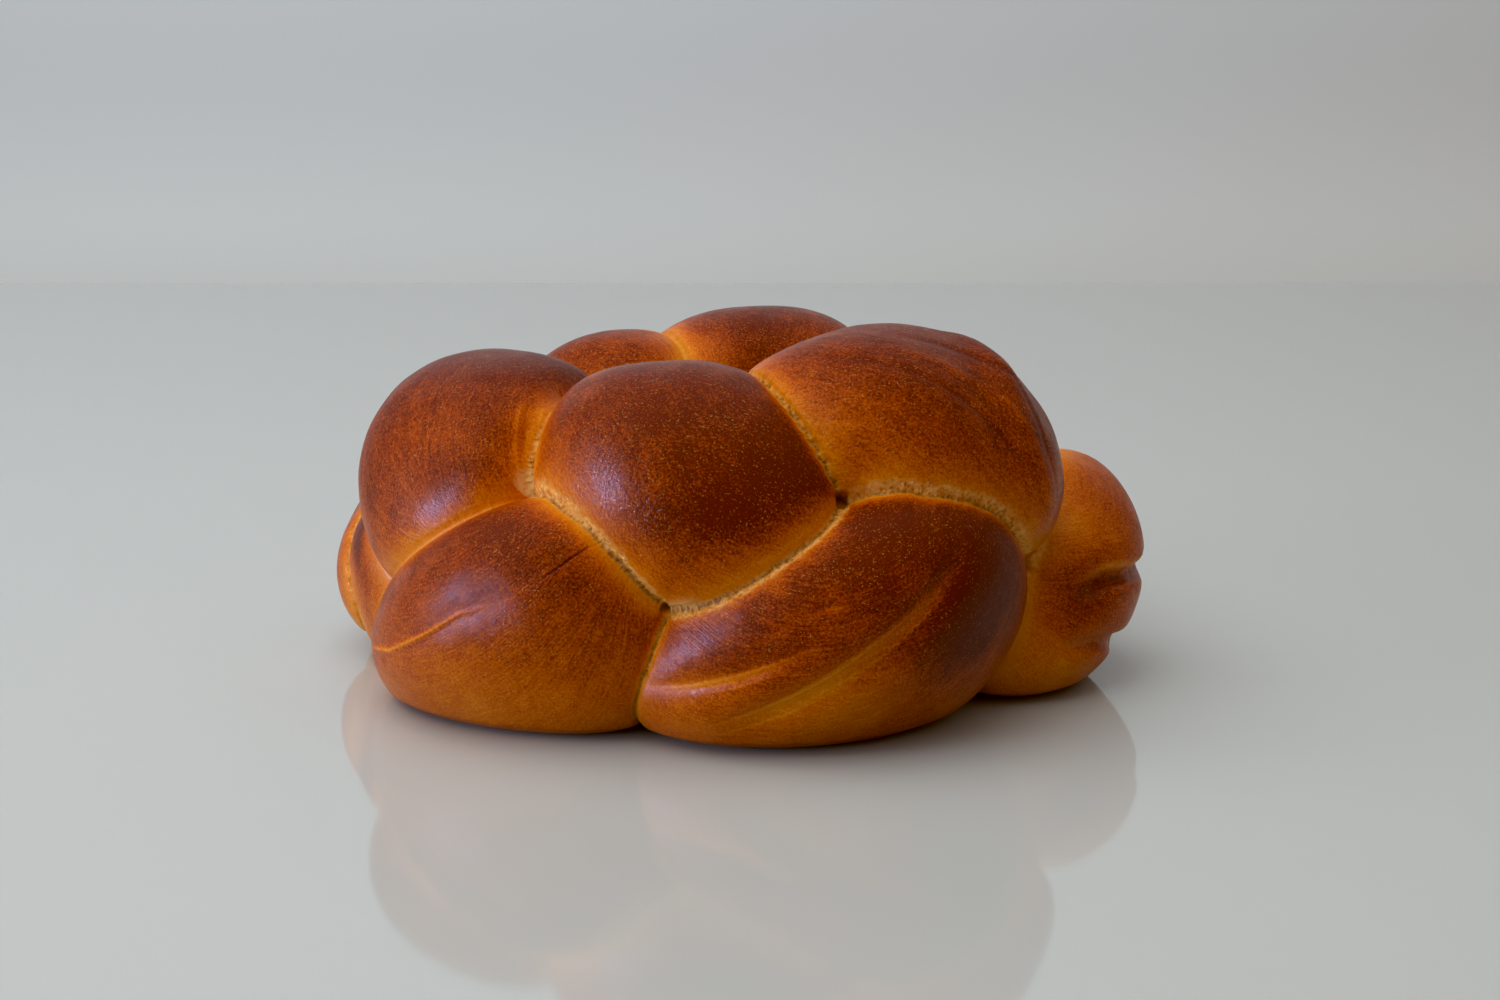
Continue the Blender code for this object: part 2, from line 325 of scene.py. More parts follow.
# Unevenness of the browning in the material: each noise's scale or its stretch along the rope, detail and
# roughness, then the noise's low and high and how far the browning shifts
CLOUDS = (110.0, 6.0, 0.65)
STREAKS = ((0.06, 0.8, 1.0), 4.0, 0.65)
WRINKLE_LINES = ((0.25, 1.9, 1.0), 4.0, 0.6)
GRAIN = (1500.0, 2.0)
CLOUD_BROWNING = (0.25, 0.75, 0.07)
STREAK_BROWNING = (0.3, 0.7, 0.05)
GRAIN_BROWNING = (0.25, 0.75, 0.13)
WRINKLE_BROWNING = (0.3, 0.7, 0.07)
BROWNED_ENOUGH = 0.4

# Flecks, crumb and the painted shade of pits: the noises, the values at which each begins and is whole, and
# the shares of their colours
DASHES = ((0.7, 3.6, 1.0), 0.0)
DASH_EDGES = (0.74, 0.83)
DOTS = (1900.0, 0.0)
DOT_EDGES = (0.69, 0.8)
CLUSTERS = (90.0, 2.0)
CLUSTER_EDGES = (0.3, 0.6, 0.5, 1.0)
FLECK_SHARE = 0.38
CRUMB = (520.0, 4.0, 0.7)
CRUMB_SHARE = 0.85
PIT_SHADE_SHARE = 0.85

# Gloss and bump of the egg wash
ROUGHNESS_RANGE = (0.3, 0.7, 0.38, 0.48)
TORN_ROUGHNESS = 0.4
SPECULAR_LEVEL = 0.12
COAT_WEIGHT = 0.22
COAT_ROUGHNESS = 0.12
COAT_IOR = 1.3
SKIN = (420.0, 3.0, 0.6)
SKIN_BUMP = 0.4
STREAK_BUMP = 0.25
WRINKLE_BUMP = 0.5
GRAIN_BUMP = 0.2
FLECK_BUMP = 0.12
CRUMB_BUMP = 1.6
BUMP_STRENGTH = 0.75
BUMP_DISTANCE = 0.4 * MM

# Fineness of the crust, its foot, and the scale of the places on a rope that the material reads
LAYOUT_RINGS = 130
LAYOUT_SIDES = 180
VOXEL = 0.95 * MM
SMOOTHING_ROUNDS = 4
FINE_BAND = 4.5 * MM
FINER_BAND = 2.6 * MM
CREASE_EVENING = 1.6 * MM
BASE_ROUNDING = 3 * MM
BASE_SINK = 0.25 * MM
ROPE_LENGTH = 120
LUMP_SHIFT = 31.0

# Camera, in the photograph's frame of 1500 by 1000. It looks down on the foot of the ring's axis, and aims
# above it by so many of its pixels. The film's black clips the darkest greens and blues.
LENS = 72
SENSOR = 36
FRAME_WIDTH = 1500
CAMERA_DISTANCE = 894.4 * MM
CAMERA_ELEVATION = np.radians(15)
CAMERA_SIDE_STEP = 4.3 * MM
AIM_ABOVE_PIXELS = 152
CAMERA_PITCH = CAMERA_ELEVATION - np.arctan(AIM_ABOVE_PIXELS * SENSOR / (FRAME_WIDTH * LENS))
FILM_BLACK = (0, 0.002, 0.005)

# Room: the floor and the backdrop behind its end, whose tones go with the height: painted shade, darker
# higher up
ROOM_HALF_WIDTH = 4
FLOOR_END = 793 * MM
FLOOR_COLOUR = (0.445, 0.473, 0.478)
FLOOR_ROUGHNESS = 0.06
BACKDROP_PLACE = 1600 * MM
BACKDROP_FOOT = -1
BACKDROP_TOP = 3
BACKDROP_TONES = ((-113 * MM, (0.74, 0.79, 0.78)), (86 * MM, (0.62, 0.655, 0.66)))
BACKDROP_ROUGHNESS = 0.9

# Light: the sky's tones by how far a direction leans to the bright side, and the lamps' place, the point that
# they face, their size, power and colour
BRIGHT_SIDE = (-0.45, 0.45, 0.77)
DIM_LEAN = -0.3
DIM_SKY = (0.17, 0.075, 0.018)
BRIGHT_SKY = (0.99, 0.985, 0.93)
SKY_STRENGTH = 0.95
LOAF_MIDDLE = (0, 0, 50 * MM)
WINDOW_PLACE = (-1.22, -0.43, 0.19)
GLINT = (WINDOW_PLACE, LOAF_MIDDLE, (0.5, 0.2), 50, (0.32, 0.48, 1))
WINDOW = (WINDOW_PLACE, LOAF_MIDDLE, (0.9, 0.2), 9, (0.71, 0.76, 1))
OVERHEAD = ((-0.5, -0.05, 1.45), LOAF_MIDDLE, (2.2, 1.8), 21, (1, 0.98, 0.94))
BACKDROP_WASH = ((-0.6, 0, 1), (0, BACKDROP_PLACE, 0), (1, 1), 13, (0.59, 0.82, 1))


def lump_line(base, turn, stretch=1.0, reach=0.0, rise=0.0, wide=1.0, deep=1.0):
    """The row's line moved, stretched and swollen for one lump, and the heart it faces from."""
    keys = np.array(base, float)
    keys[:, 0] = turn + keys[:, 0] * stretch
    keys[:, 1] = (keys[:, 1] + reach) * MM
    keys[:, 2] = (keys[:, 2] + rise) * MM
    keys[:, 3] *= wide * MM
    keys[:, 4] *= deep * MM
    return keys, (HEART_REACH + reach * MM, HEART_RISE + rise * MM)


def all_lumps():
    """Every lump's name, line, heart and folds."""
    step = 360 / INNER_LUMP_COUNT
    turns = [FIRST_INNER_TURN + step * index for index in range(INNER_LUMP_COUNT)]
    inner = {f"{index + 1}": {"turn": turn} for index, turn in enumerate(turns)}
    lumps = {}
    for row, base, changes in (
        ("upper", UPPER_LINE, UPPER_LUMPS),
        ("lower", LOWER_LINE, LOWER_LUMPS),
        ("inner", INNER_LINE, inner),
    ):
        for place, change in changes.items():
            name = f"{row}_{place}"
            lumps[name] = (*lump_line(base, **change), FOLDS.get(name, ()))
    return lumps


def through(keys, along):
    """A smooth curve through the keys (Catmull-Rom), at along from 0 to 1."""
    before = 2 * keys[0] - keys[1]
    after = 2 * keys[-1] - keys[-2]
    padded = np.vstack([before, keys, after])
    place = along * (len(keys) - 1)
    index = np.minimum(place.astype(int), len(keys) - 2)
    t = (place - index)[:, None]
    a, b, c, d = (padded[index + step] for step in range(4))
    return 0.5 * (2 * b + (c - a) * t + (2 * a - 5 * b + 4 * c - d) * t**2 + (3 * b - a - 3 * c + d) * t**3)


def ring_points(turn, reach, rise):
    """Points at a turn in degrees from -Y towards +X, a reach from the ring's axis and a rise."""
    angle = np.radians(turn)
    east = RING_AXIS_X + reach * np.sin(angle)
    north = RING_AXIS_Y - reach * np.cos(angle)
    return np.stack([east, north, np.broadcast_to(rise, angle.shape)], axis=1)


def unit(vectors):
    return vectors / np.linalg.norm(vectors, axis=1)[:, None]


def section_axes(keys, heart, along):
    """The middle line at along, and the directions of a section's width and depth there."""
    step = 1e-3
    rows = through(keys, along)
    line = ring_points(rows[:, 0], rows[:, 1], rows[:, 2])
    ahead = through(keys, np.minimum(along + step, 1))
    behind = through(keys, np.maximum(along - step, 0))
    tangent = unit(ring_points(*ahead.T[:3]) - ring_points(*behind.T[:3]))
    outward = line - ring_points(rows[:, 0], *heart)
    outward = unit(outward - np.sum(outward * tangent, axis=1)[:, None] * tangent)
    return rows, line, np.cross(tangent, outward), outward


def rounded(value):
    """A cosine or sine pulled towards a box by SECTION_BOXINESS."""
    return np.sign(value) * np.abs(value) ** SECTION_BOXINESS


def fold_gap(path, along, angle):
    """How far round the section a point lies from a fold, in degrees, and how strong the fold is there."""
    stations, angles = np.array(path, float).T
    gap = angle - np.interp(along, stations, angles)
    opening = np.clip((along - stations[0]) / FOLD_FADE, 0, 1)
    closing = np.clip((stations[-1] - along) / FOLD_FADE, 0, 1)
    return gap, opening * closing


def lump_surface(lump, along, angle):
    """Points of a lump's surface, at along from 0 to 1 and at an angle round the section in degrees."""
    keys, heart, folds = lump
    rows, line, side, outward = section_axes(keys, heart, along)
    swell = np.maximum(0, 1 - np.abs(2 * along - 1) ** END_BLUNTNESS) ** (1 / END_BLUNTNESS)
    across = rows[:, 3] * swell * rounded(np.cos(np.radians(angle)))
    out = rows[:, 4] * swell * rounded(np.sin(np.radians(angle)))
    out = np.where(out < 0, out * INNER_DEPTH, out)
    radius = np.hypot(across, out) + TINY
    for path, depth, half_width in folds:
        gap, strength = fold_gap(path, along, angle)
        sunk = depth * MM * strength * np.exp(-((np.radians(gap) * radius / (half_width * MM)) ** 2))
        across, out = across * (1 - sunk / radius), out * (1 - sunk / radius)
    return line + across[:, None] * side + out[:, None] * outward


def grid_faces(rings, sides, start):
    """Quads of a grid that closes round its sides."""
    ring = np.repeat(np.arange(rings - 1), sides)
    spot = np.tile(np.arange(sides), rings - 1)
    beside = (spot + 1) % sides
    here, ahead = ring * sides, (ring + 1) * sides
    return np.stack((here + spot, here + beside, ahead + beside, ahead + spot), axis=1) + start


def laid_out(lumps):
    """Each lump's points on a fine grid, rings by sides."""
    along = (1 - np.cos(np.linspace(0, np.pi, LAYOUT_RINGS))) / 2
    angle = np.linspace(-90, 270, LAYOUT_SIDES, endpoint=False)
    along, angle = (part.ravel() for part in np.meshgrid(along, angle, indexing="ij"))
    return [lump_surface(lump, along, angle) for lump in lumps.values()]


def core_points():
    """The dough inside the ring, on the same grid as the lumps."""
    round_ring = np.linspace(0, 360, LAYOUT_RINGS)
    round_section = np.linspace(0, 2 * np.pi, LAYOUT_SIDES, endpoint=False)
    turn, angle = (part.ravel() for part in np.meshgrid(round_ring, round_section, indexing="ij"))
    radius = CORE_THICKNESS / 2
    return ring_points(turn, CORE_REACH + radius * np.cos(angle), CORE_RISE + radius * np.sin(angle))


def mesh_from(name, points, faces):
    mesh = bpy.data.meshes.new(name)
    mesh.from_pydata(points.tolist(), [], faces.tolist())
    mesh.update()
    return mesh


def fused(grids):
    """One mesh round all the grids, with the hidden surfaces gone."""
    count = LAYOUT_RINGS * LAYOUT_SIDES
    faces = [grid_faces(LAYOUT_RINGS, LAYOUT_SIDES, count * index) for index in range(len(grids))]
    rough = bpy.data.objects.new("rough", mesh_from("rough", np.vstack(grids), np.vstack(faces)))
    bpy.context.scene.collection.objects.link(rough)
    remesh = rough.modifiers.new("Remesh", "REMESH")
    remesh.mode = "VOXEL"
    remesh.voxel_size = VOXEL
    graph = bpy.context.evaluated_depsgraph_get()
    mesh = bpy.data.meshes.new_from_object(rough.evaluated_get(graph))
    bpy.data.objects.remove(rough)
    return mesh


def points_of(mesh):
    points = np.empty(len(mesh.vertices) * 3)
    mesh.vertices.foreach_get("co", points)
    return points.reshape(-1, 3)


def edges_of(mesh):
    edges = np.empty(len(mesh.edges) * 2, int)
    mesh.edges.foreach_get("vertices", edges)
    return edges.reshape(-1, 2)


def normals_of(mesh):
    normals = np.empty(len(mesh.vertices) * 3)
    mesh.vertices.foreach_get("normal", normals)
    return normals.reshape(-1, 3)


def spread(values, edges, rounds, share=0.5):
    """Values at vertices, each drawn towards the mean of its neighbours, round after round."""
    values = np.array(values, float).reshape(len(values), -1)
    a, b = edges.T
    count = np.bincount(a, minlength=len(values)) + np.bincount(b, minlength=len(values))
    count = np.maximum(count, 1)
    for _ in range(rounds):
        for column in values.T:
            total = np.bincount(a, column[b], len(values)) + np.bincount(b, column[a], len(values))
            column += share * (total / count - column)
    return values if values.shape[1] > 1 else values[:, 0]


def tree_of(points):
    tree = kdtree.KDTree(len(points))
    for index, point in enumerate(points):
        tree.insert(point, index)
    tree.balance()
    return tree


def nearest(tree, points):
    """The index and the distance of the nearest of the tree's points."""
    found = [tree.find(point) for point in points]
    return np.array([index for _, index, _ in found]), np.array([distance for _, _, distance in found])


def place_on_lumps(points, grids, tree):
    """Each point's lump, its place along it (0 to 1) and its angle round it in degrees."""
    found, _ = nearest(tree, points)
    count = LAYOUT_RINGS * LAYOUT_SIDES
    owner, within = np.divmod(found, count)
    ring, spot = np.divmod(within, LAYOUT_SIDES)
    along, angle = np.zeros(len(points)), np.zeros(len(points))
    for index, grid in enumerate(grids):
        mine = np.flatnonzero(owner == index)
        if not len(mine):
            continue
        shaped = grid.reshape(LAYOUT_RINGS, LAYOUT_SIDES, 3)
        by_ring = np.gradient(shaped, axis=0)[ring[mine], spot[mine]]
        wrapped = (np.roll(shaped, -1, axis=1) - np.roll(shaped, 1, axis=1)) / 2
        by_spot = wrapped[ring[mine], spot[mine]]
        offset = points[mine] - shaped[ring[mine], spot[mine]]
        ring_step = np.sum(offset * by_ring, axis=1) / np.maximum(np.sum(by_ring**2, axis=1), TINY_SQUARE)
        spot_step = np.sum(offset * by_spot, axis=1) / np.maximum(np.sum(by_spot**2, axis=1), TINY_SQUARE)
        place = ring[mine] + np.clip(ring_step, -1, 1)
        along[mine] = (1 - np.cos(np.pi * np.clip(place / (LAYOUT_RINGS - 1), 0, 1))) / 2
        angle[mine] = -90 + 360 / LAYOUT_SIDES * (spot[mine] + np.clip(spot_step, -1, 1))
    return owner, along, angle


def evened(points, reach):
    """Each point moved to the middle of the points within reach of it."""
    tree = tree_of(points)
    groups = [[index for _, index, _ in tree.find_range(point, reach)] for point in points]
    return np.array([points[group].mean(axis=0) for group in groups])


def crease_points(points, edges, owner):
    """Points on the creases, where two lumps meet, and the pair of lumps of each."""
    a, b = edges.T
    met = np.flatnonzero(owner[a] != owner[b])
    pairs = np.sort(np.stack([owner[a[met]], owner[b[met]]], axis=1), axis=1)
    crossings = (points[a[met]] + points[b[met]]) / 2
    for pair in np.unique(pairs, axis=0):
        mine = np.all(pairs == pair, axis=1)
        crossings[mine] = evened(crossings[mine], CREASE_EVENING)
    return crossings, pairs


def refined(mesh, near):
    """Splits the edges whose two points are near a crease, a tear or a fine mark."""
    bm = bmesh.new()
    bm.from_mesh(mesh)
    bm.verts.ensure_lookup_table()
    marked = {bm.verts[index] for index in np.flatnonzero(near)}
    chosen = [edge for edge in bm.edges if edge.verts[0] in marked and edge.verts[1] in marked]
    bmesh.ops.subdivide_edges(bm, edges=chosen, cuts=1, use_grid_fill=True)
    bm.to_mesh(mesh)
    bm.free()


def noisy(points, size, seed, height=1.0):
    """Smooth noise between about -height and height, whose lumps are size wide."""
    shift = Vector([seed * step for step in NOISE_STEP])
    return np.array([noise.noise(Vector(point) / size + shift) for point in points]) * height


def step_up(low, high, values):
    """0 below low, 1 above high and smooth between."""
    t = np.clip((values - low) / (high - low), 0, 1)
    return t * t * (3 - 2 * t)


def store(mesh, name, values, kind="FLOAT"):
    attribute = mesh.attributes.new(name, kind, "POINT")
    field = "vector" if kind == "FLOAT_VECTOR" else "value"
    attribute.data.foreach_set(field, values.astype(np.float32).ravel())


def flat_base(points):
    """Rounds the loaf's foot and lays it flat on height zero."""
    height = points[:, 2]
    eased = (height + np.sqrt(height**2 + BASE_ROUNDING**2)) / 2 - BASE_SINK
    lift = BASE_ROUNDING**2 / (4 * np.maximum(height, BASE_ROUNDING))
    points[:, 2] = np.maximum(np.where(height > BASE_ROUNDING, eased - lift + BASE_SINK, eased), 0)
    return points


class Crust:
    """What is known at each point of the crust while its relief and colours are worked out."""

    def __init__(self, mesh, lumps, grids, tree):
        self.names = list(lumps)
        self.points, self.edges = points_of(mesh), edges_of(mesh)
        self.owner, self.along, self.angle = place_on_lumps(self.points, grids, tree)
        self.on_crease, self.pairs = crease_points(self.points, self.edges, self.owner)
        self.nearest_crease, self.gap = nearest(tree_of(self.on_crease), self.points)
        self.radius = np.zeros(len(self.points))
        for index, (keys, heart, _) in enumerate(lumps.values()):
            mine = self.owner == index
            if mine.any():
                line = section_axes(keys, heart, self.along[mine])[1]
                self.radius[mine] = np.linalg.norm(self.points[mine] - line, axis=1)

    def on(self, name):
        return self.owner == self.names.index(name)

    def near_mark(self, name, path):
        """How far each point lies from a line drawn on a lump, in metres, and the line's strength there."""
        gap, strength = fold_gap(path, self.along, self.angle)
        return np.radians(gap) * self.radius, strength * self.on(name)

    def beside_fine_mark(self, reach):
        """Which points lie within reach of a mark that is too fine for the plain mesh."""
        beside = np.zeros(len(self.points), bool)
        for name, marks in MARKS.items():
            for path, half_width, _, _ in marks:
                if half_width < FINE_MARK:
                    distance, strength = self.near_mark(name, path)
                    beside |= (np.abs(distance) < reach) & (strength > 0)
        return beside

    def beside_tear(self, reach):
        pair = self.pairs[self.nearest_crease]
        beside = np.zeros(len(self.points), bool)
        for first, second, _, _ in TEARS:
            wanted = sorted((self.names.index(first), self.names.index(second)))
            beside |= np.all(pair == wanted, axis=1) & (self.gap < reach)
        return beside

    def junction(self, *three):
        """The point where three lumps meet."""
        a, b, c = (self.names.index(name) for name in three)
        sets = []
        for pair in ((a, b), (b, c), (a, c)):
            wanted = np.all(self.pairs == sorted(pair), axis=1)
            sets.append(self.on_crease[wanted])
        worst = np.zeros(len(sets[0]))
        if not all(len(found) for found in sets):
            raise ValueError(f"these lumps don't meet: {three}")
        for other in sets[1:]:
            worst = np.maximum(worst, nearest(tree_of(other), sets[0])[1])
        return sets[0][worst.argmin()]


def bell(distance, half_width):
    return np.exp(-((distance / half_width) ** 2))


def crease_reach(crust):
    """How far from the nearest crease the crust stays pale, in metres."""
    reach = np.full(len(crust.points), BROWNING_REACH)
    pair = crust.pairs[crust.nearest_crease]
    for (name, neighbour), far in CREASE_REACHES.items():
        mine, other = crust.names.index(name), crust.names.index(neighbour)
        reach[(crust.owner == mine) & np.all(pair == sorted((mine, other)), axis=1)] = far * MM
    return spread(reach, crust.edges, REACH_EVENING)


def browning_of(crust, lumps, heights, upward):
    """How far the crust has browned, from 0, pale dough, to 1, mahogany."""
    browned = 1 - np.exp(-crust.gap / crease_reach(crust))
    low_pale = PALE_FOOT * (1 - step_up(PALE_FOOT_LOW, PALE_FOOT_HIGH, heights))
    cloud = sum(noisy(crust.points, *layer) for layer in BROWNING_CLOUDS)
    browned = browned * (SIDE_BROWNING + (1 - SIDE_BROWNING) * upward - low_pale) + cloud * browned
    for name, change in LUMP_BROWNING.items():
        browned += crust.on(name) * change * browned
    for name, along, angle, reach, amount in PATCHES:
        plain_lump = (*lumps[name][:2], ())
        spot = lump_surface(plain_lump, np.array([along]), np.array([angle], float))[0]
        browned += amount * bell(np.linalg.norm(crust.points - spot, axis=1), reach * MM)
    # Marks make the crust paler or darker; the darker ones, on sunk grooves and cracks, are painted shade
    for name, marks in MARKS.items():
        for path, half_width, _, light in marks:
            distance, strength = crust.near_mark(name, path)
            browned -= light * strength * bell(distance, half_width * MM)
    return browned


def torn_of(crust, ragged):
    """Where the crumb shows along a crease that tore open in the oven, from 0 to 1."""
    pair = crust.pairs[crust.nearest_crease]
    torn = np.zeros(len(crust.points))
    for first, second, first_width, second_width in TEARS:
        a, b = crust.names.index(first), crust.names.index(second)
        here = np.all(pair == sorted((a, b)), axis=1)
        width = np.where(crust.owner == a, first_width, second_width) * MM
        edge = np.maximum(width * (1 + TEAR_RAGGEDNESS * ragged), TEAR_LEAST)
        torn = np.where(here, 1 - step_up(*TEAR_EDGES, crust.gap / edge), torn)
    return torn


def cream_of(crust):
    """Pale dough that shows in the corners where three ropes meet."""
    pair = crust.pairs[crust.nearest_crease]
    cream = np.zeros(len(crust.points))
    for three, reach, width in CREAM_CORNERS:
        away = np.linalg.norm(crust.points - crust.junction(*three), axis=1)
        first, second = (crust.names.index(name) for name in three[:2])
        beside = (crust.owner == first) & np.all(pair == sorted((first, second)), axis=1)
        patch = (1 - step_up(CREAM_FULL, 1, away / (reach * MM))) * bell(crust.gap, width * MM)
        cream = np.maximum(cream, patch * beside)
    return cream


def relief_of(crust, torn, ragged):
    """How far each point stands out of the smooth lump, in metres, and the painted shade that darkens its
    pits, cracks and corner holes, from 0 to 1.
    """
    relief = sum(noisy(crust.points, *swell) for swell in SWELLS) - RELIEF_SINK
    place = np.stack([crust.along, crust.angle, crust.owner], axis=1) * WRINKLE_STRETCH
    relief += noisy(place, *WRINKLES) * (1 - torn)
    relief -= torn * (TEAR_SINK - ragged * TEAR_RISE)
    pit_size, pit_seed, pit_depth = TEAR_PITS
    shaded_pits = step_up(*TEAR_PIT_EDGES, noisy(crust.points, pit_size, pit_seed))
    relief -= torn * shaded_pits * pit_depth
    relief += torn * noisy(crust.points, *TEAR_GRAIN)
    relief -= CREASE_CUT * bell(crust.gap, CREASE_HALF_WIDTH)
    for name, marks in MARKS.items():
        for path, half_width, sunk, _ in marks:
            distance, strength = crust.near_mark(name, path)
            relief -= sunk * MM * strength * bell(distance, half_width * MM)
    # Painted shade: a dark hairline along torn creases, dark pits in the crumb and dark holes at the corners
    hairline = bell(crust.gap, HAIRLINE) * crust.beside_tear(FINER_BAND) * (HAIRLINE_DARKNESS + ragged)
    painted_shade = np.maximum(torn * shaded_pits * TEAR_PIT_DARKNESS, hairline)
    for three, depth, reach in PIT_CORNERS:
        hole = bell(np.linalg.norm(crust.points - crust.junction(*three), axis=1), reach * MM)
        relief -= depth * MM * hole
        painted_shade = np.maximum(painted_shade, hole)
    return relief, np.clip(painted_shade, 0, 1)


def add_crust(lumps):
    """The loaf's crust, with what its material reads kept as attributes."""
    grids = laid_out(lumps)
    mesh = fused(grids + [core_points()])
    tree = tree_of(np.vstack(grids))
    crust = Crust(mesh, lumps, grids, tree)
    refined(mesh, (crust.gap < FINE_BAND) | crust.beside_fine_mark(FINER_BAND))
    crust = Crust(mesh, lumps, grids, tree)
    refined(mesh, crust.beside_tear(FINER_BAND) | crust.beside_fine_mark(FINER_BAND / 2))
    crust = Crust(mesh, lumps, grids, tree)
    mesh.vertices.foreach_set("co", spread(crust.points, crust.edges, SMOOTHING_ROUNDS).ravel())
    mesh.update()
    points, normals = points_of(mesh), normals_of(mesh)
    ragged = sum(noisy(crust.points, *part) for part in RAGGED)
    torn = torn_of(crust, ragged)
    relief, shaded_pits = relief_of(crust, torn, ragged)
    browning = browning_of(crust, lumps, points[:, 2], normals[:, 2])
    cream = cream_of(crust)
    points = flat_base(points + normals * relief[:, None])
    mesh.vertices.foreach_set("co", points.ravel())
    mesh.update()

    girth = np.radians(crust.angle) * crust.radius / MM
    rope_place = np.stack([crust.along * ROPE_LENGTH, girth, crust.owner * LUMP_SHIFT], axis=1)
    store(mesh, "rope_place", rope_place, "FLOAT_VECTOR")
    store(mesh, "browning", np.clip(browning, 0, FULL_BROWNING))
    store(mesh, "torn", torn)
    store(mesh, "shaded_pits", shaded_pits)
    store(mesh, "cream", cream)
    mesh.shade_smooth()
    loaf = bpy.data.objects.new("challah_crust", mesh)
    bpy.context.scene.collection.objects.link(loaf)
    return loaf


class Graph:
    """Short ways to add and link a material's nodes."""

    def __init__(self, material):
        material.use_nodes = True
        self.tree = material.node_tree
        self.shader = self.tree.nodes["Principled BSDF"]

    def link(self, value, socket):
        if isinstance(value, bpy.types.NodeSocket):
            self.tree.links.new(value, socket)
        else:
            socket.default_value = value

    def add(self, kind, inputs=(), **settings):
        node = self.tree.nodes.new(kind)
        for name, value in settings.items():
            setattr(node, name, value)
        for name, value in dict(inputs).items():
            self.link(value, node.inputs[name])
        return node

    def attribute(self, name, output="Fac"):
        return self.add("ShaderNodeAttribute", attribute_name=name).outputs[output]

    def noise(self, place, scale, detail=3.0, roughness=0.5):
        inputs = {"Vector": place, "Scale": scale, "Detail": detail, "Roughness": roughness}
        return self.add("ShaderNodeTexNoise", inputs).outputs["Fac"]

    def rope_noise(self, place, factors, detail, roughness=0.5):
        """Noise stretched along the rope."""
        stretched = self.add("ShaderNodeVectorMath", {0: place, 1: factors}, operation="MULTIPLY")
        return self.noise(stretched.outputs[0], 1.0, detail, roughness)

    def math(self, operation, first, second=0.0, clamp=False):
        node = self.add("ShaderNodeMath", {0: first, 1: second}, operation=operation, use_clamp=clamp)
        return node.outputs[0]

    def total(self, values):
        """The sum of all the values."""
        first, *others = values
        for value in others:
            first = self.math("ADD", first, value)
        return first

    def between(self, value, low, high, to_low=0.0, to_high=1.0):
        inputs = {"Value": value, "From Min": low, "From Max": high, "To Min": to_low, "To Max": to_high}
        return self.add("ShaderNodeMapRange", inputs, interpolation_type="SMOOTHSTEP").outputs["Result"]

    def swing(self, value, low, high, reach):
        """From -reach at low to reach at high."""
        return self.between(value, low, high, -reach, reach)

    def mix(self, share, first, second):
        return self.add("ShaderNodeMix", {0: share, 6: first, 7: second}, data_type="RGBA").outputs[2]

    def ramp(self, value, stops):
        node = self.add("ShaderNodeValToRGB", {"Fac": value})
        elements = node.color_ramp.elements
        while len(elements) < len(stops):
            elements.new(0.5)
        for element, (place, colour) in zip(elements, stops):
            element.position = place
            element.color = (*colour, 1)
        return node.outputs["Color"]


